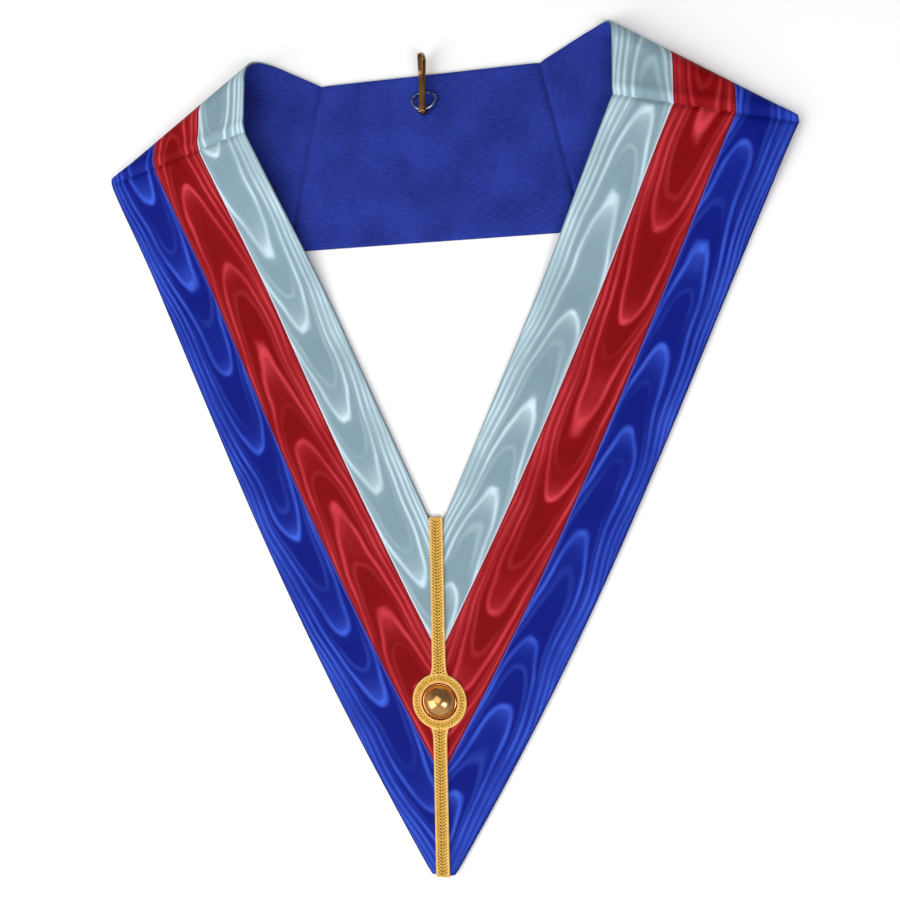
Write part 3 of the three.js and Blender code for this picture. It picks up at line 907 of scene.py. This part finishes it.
lip = [
    (button_radius - LIP_RADIUS + LIP_RADIUS * math.sin(t), LIP_RADIUS - LIP_RADIUS * math.cos(t))
    for t in np.linspace(0, LIP_TURN, LIP_STEPS)
]
dome_radius = button_radius - LIP_RADIUS
dome_rise = button_height - DOME_FOOT
dome_curve = (dome_radius**2 + dome_rise**2) / (2 * dome_rise)
dome = [
    (dome_curve * math.sin(t), button_height - dome_curve * (1 - math.cos(t)))
    for t in np.linspace(math.asin(dome_radius / dome_curve), 0, DOME_STEPS)[:-1]
]
button_centre = ((button_low.x + button_high.x) / 2, (button_low.y + button_high.y) / 2, button_low.z)
button_gilt = gilt("button_gilt", BUTTON_GILT, BUTTON_ROUGHNESS)
button_profile = [(0, 0), *lip, *dome, (0, button_height)]
turned("dome_button_cap", "dome_button", button_profile, button_centre, button_gilt)


# The hook at the nape: a strip of gilt brass bent into an eye, a shank over the neck edge and a bend that
# comes back over it and tapers to its end. It swivels on a wire ring that is sewn to the lining.
hook_low, hook_high = (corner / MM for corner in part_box("neck_hook"))
hook_width = hook_high.x - hook_low.x
HOOK_STRIP = 1.8
HOOK_LENGTH = 36.0
HOOK_PAST_NECK = 11.0
EYE_RADIUS = 2.4
BEND_RADIUS = 3.6
RETURN_LENGTH = 10.0
WIRE = 1.4
CLOTH_GAP = 0.3
CURVE_STEPS = 24
STRIP_SIDES = 24
STRIP_ROWS = 120
# Of the eye and the bend: where each turn starts and ends, in degrees, and its points
EYE_TURN = (-15, -270, 12)
BEND_TURN = (-90, 90, 9)
SQUARE_ACROSS = 0.35
SQUARE_THROUGH = 0.55
ROUNDED_ROWS = 5
ROUNDED_LEAST = 0.04
TAPER = 0.45
TAPER_FROM = 0.66
TAPER_LENGTH = 0.34
TAPER_CURVE = 0.8
HOOK_GILT = ((118, 80, 44), (172, 130, 84))
HOOK_ROUGHNESS = 0.18

lining_top = panel_thickness + CLOTH_GAP
eye_height = lining_top + HOOK_STRIP / 2 + EYE_RADIUS
eye_centre = HOOK_PAST_NECK - HOOK_LENGTH + HOOK_STRIP / 2 + EYE_RADIUS
bend_centre = HOOK_PAST_NECK - HOOK_STRIP / 2 - BEND_RADIUS
bend_height = lining_top + WIRE + CLOTH_GAP + HOOK_STRIP / 2 + BEND_RADIUS


def arc(y, z, radius, start, end, count):
    """Points round a circle, seen from the side, between two angles in degrees."""
    turn = np.radians(np.linspace(start, end, count))
    return np.column_stack([y + radius * np.cos(turn), z + radius * np.sin(turn)])


def smooth_line(points, count):
    """A curve of even steps through the points."""
    points = np.asarray(points, float)
    padded = np.vstack([2 * points[0] - points[1], points, 2 * points[-1] - points[-2]])
    fine = []
    for before, start, end, after in zip(padded, padded[1:], padded[2:], padded[3:]):
        share = np.linspace(0, 1, CURVE_STEPS, endpoint=False)[:, None]
        speed = end - before
        pull = 2 * before - 5 * start + 4 * end - after
        twist = 3 * start - before - 3 * end + after
        fine.append(0.5 * (2 * start + speed * share + pull * share**2 + twist * share**3))
    fine = np.vstack([*fine, points[-1:]])
    travelled = np.concatenate([[0], np.cumsum(np.linalg.norm(np.diff(fine, axis=0), axis=1))])
    even = np.linspace(0, travelled[-1], count)
    return np.column_stack([np.interp(even, travelled, fine[:, k]) for k in range(fine.shape[1])])


def squared(wave, power):
    """A sine or cosine swollen towards a square."""
    return np.sign(wave) * np.abs(wave) ** power


eye = arc(eye_centre, eye_height, EYE_RADIUS, *EYE_TURN)
bend = arc(bend_centre, bend_height, BEND_RADIUS, *BEND_TURN)
hook_end = (bend_centre - RETURN_LENGTH, bend_height + BEND_RADIUS + HOOK_STRIP / 2)
route = smooth_line(np.vstack([eye, bend, [hook_end]]), STRIP_ROWS)
way = np.gradient(route, axis=0)
way /= np.linalg.norm(way, axis=1)[:, None]
turn = np.linspace(0, 2 * math.pi, STRIP_SIDES, endpoint=False)
flat_x = squared(np.cos(turn), SQUARE_ACROSS) * hook_width / 2
flat_y = squared(np.sin(turn), SQUARE_THROUGH) * HOOK_STRIP / 2
row = np.arange(STRIP_ROWS)
to_end = np.clip(np.minimum(row, row[::-1]) / ROUNDED_ROWS, 0, 1)
rounding = np.sqrt(np.clip(1 - (1 - to_end) ** 2, ROUNDED_LEAST, 1))
breadth = 1 - TAPER * np.clip((row / row[-1] - TAPER_FROM) / TAPER_LENGTH, 0, 1) ** TAPER_CURVE
section = np.stack([
    hook_high.x - breadth[:, None] * (hook_width / 2 - flat_x[None]),
    neck_line + route[:, :1] - way[:, 1:] * flat_y[None] * rounding[:, None],
    route[:, 1:] + way[:, :1] * flat_y[None] * rounding[:, None],
], -1)
hook = Threads()
hook.gather(section)
hook_gilt = gilt("hook_gilt", HOOK_GILT, HOOK_ROUGHNESS)
hook.piece("neck_hook_strip", "neck_hook", hook_gilt, "gilt_metal")


# The ring that holds the hook: a loop of drawn wire, a little pointed at its lower end. It lies on the
# lining, and four turns of dark thread on each side of the hook sew it down, over the wire and into the cloth.
wire_low, wire_high = (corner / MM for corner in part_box("hook_ring"))
WIRE_POINTS = 97
WIRE_SIDES = 12
PINCH = 0.16
PINCH_MIDDLE = 0.35
WIRE_DULL = (120, 118, 140)
WIRE_BRIGHT = (190, 188, 210)
WIRE_WEAR = 400.0
WIRE_DETAIL = 3.0
WIRE_ROUGHNESS = 0.16
ROUGHER_WIRE = 0.16
STITCH_PLACES = (-0.62, 0.62)
STITCHES = 4
STITCH_STEP = 0.085
STITCH_THREAD = 0.24
STITCH_CLOSE = 0.7
STITCH_STEPS = 11

wire_metal, wire_link, wire_shader = new_material("ring_wire")
wire_wear = wire_link.add("TexCoord", output=OBJECT_PLACE).noise(WIRE_WEAR, WIRE_DETAIL)
feed(wire_shader, {
    "Base Color": wire_wear.tint(WIRE_DULL, WIRE_BRIGHT),
    "Roughness": WIRE_ROUGHNESS + wire_wear * ROUGHER_WIRE,
    "Metallic": 1.0,
})

turn = np.linspace(0, 2 * math.pi, WIRE_POINTS)
half_wide = (wire_high.x - wire_low.x - WIRE) / 2
half_tall = (wire_high.y - wire_low.y - WIRE) / 2
pinched = half_wide * (1 + PINCH * np.cos(turn) - PINCH * PINCH_MIDDLE)
loop_x = (wire_low.x + wire_high.x) / 2 + pinched * np.sin(turn)
loop_y = (wire_low.y + wire_high.y) / 2 + half_tall * np.cos(turn)
loop_z = blend((wire_high.z - WIRE / 2, wire_low.z + WIRE / 2), (1 + np.cos(turn)) / 2)
wire_ring = Threads()
wire_ring.thread(np.column_stack([loop_x, loop_y, loop_z]), WIRE / 2, WIRE_SIDES)
wire_ring.piece("hook_ring_wire", "hook_ring", wire_metal, "ring_wire")

stitches = Threads()
over = np.linspace(0, math.pi, STITCH_STEPS)
over_wire = WIRE / 2 + STITCH_THREAD * STITCH_CLOSE
for place in STITCH_PLACES:
    for angle in place + STITCH_STEP * (np.arange(STITCHES) - (STITCHES - 1) / 2):
        spot = np.array([np.interp(angle % (2 * math.pi), turn, line) for line in (loop_x, loop_y, loop_z)])
        outward = np.array([math.sin(angle), math.cos(angle), 0.0])
        sideways = np.multiply.outer(np.cos(over), outward)
        arch = spot + over_wire * (sideways + np.multiply.outer(np.sin(over), [0, 0, 1]))
        feet = arch[[0, -1]] * [1, 1, 0] + [0, 0, panel_thickness + STITCH_THREAD]
        stitches.thread(np.vstack([feet[:1], arch, feet[1:]]), STITCH_THREAD)
stitches.piece("hook_ring_stitches", "hook_ring", lining_cloth, "lining_cloth")
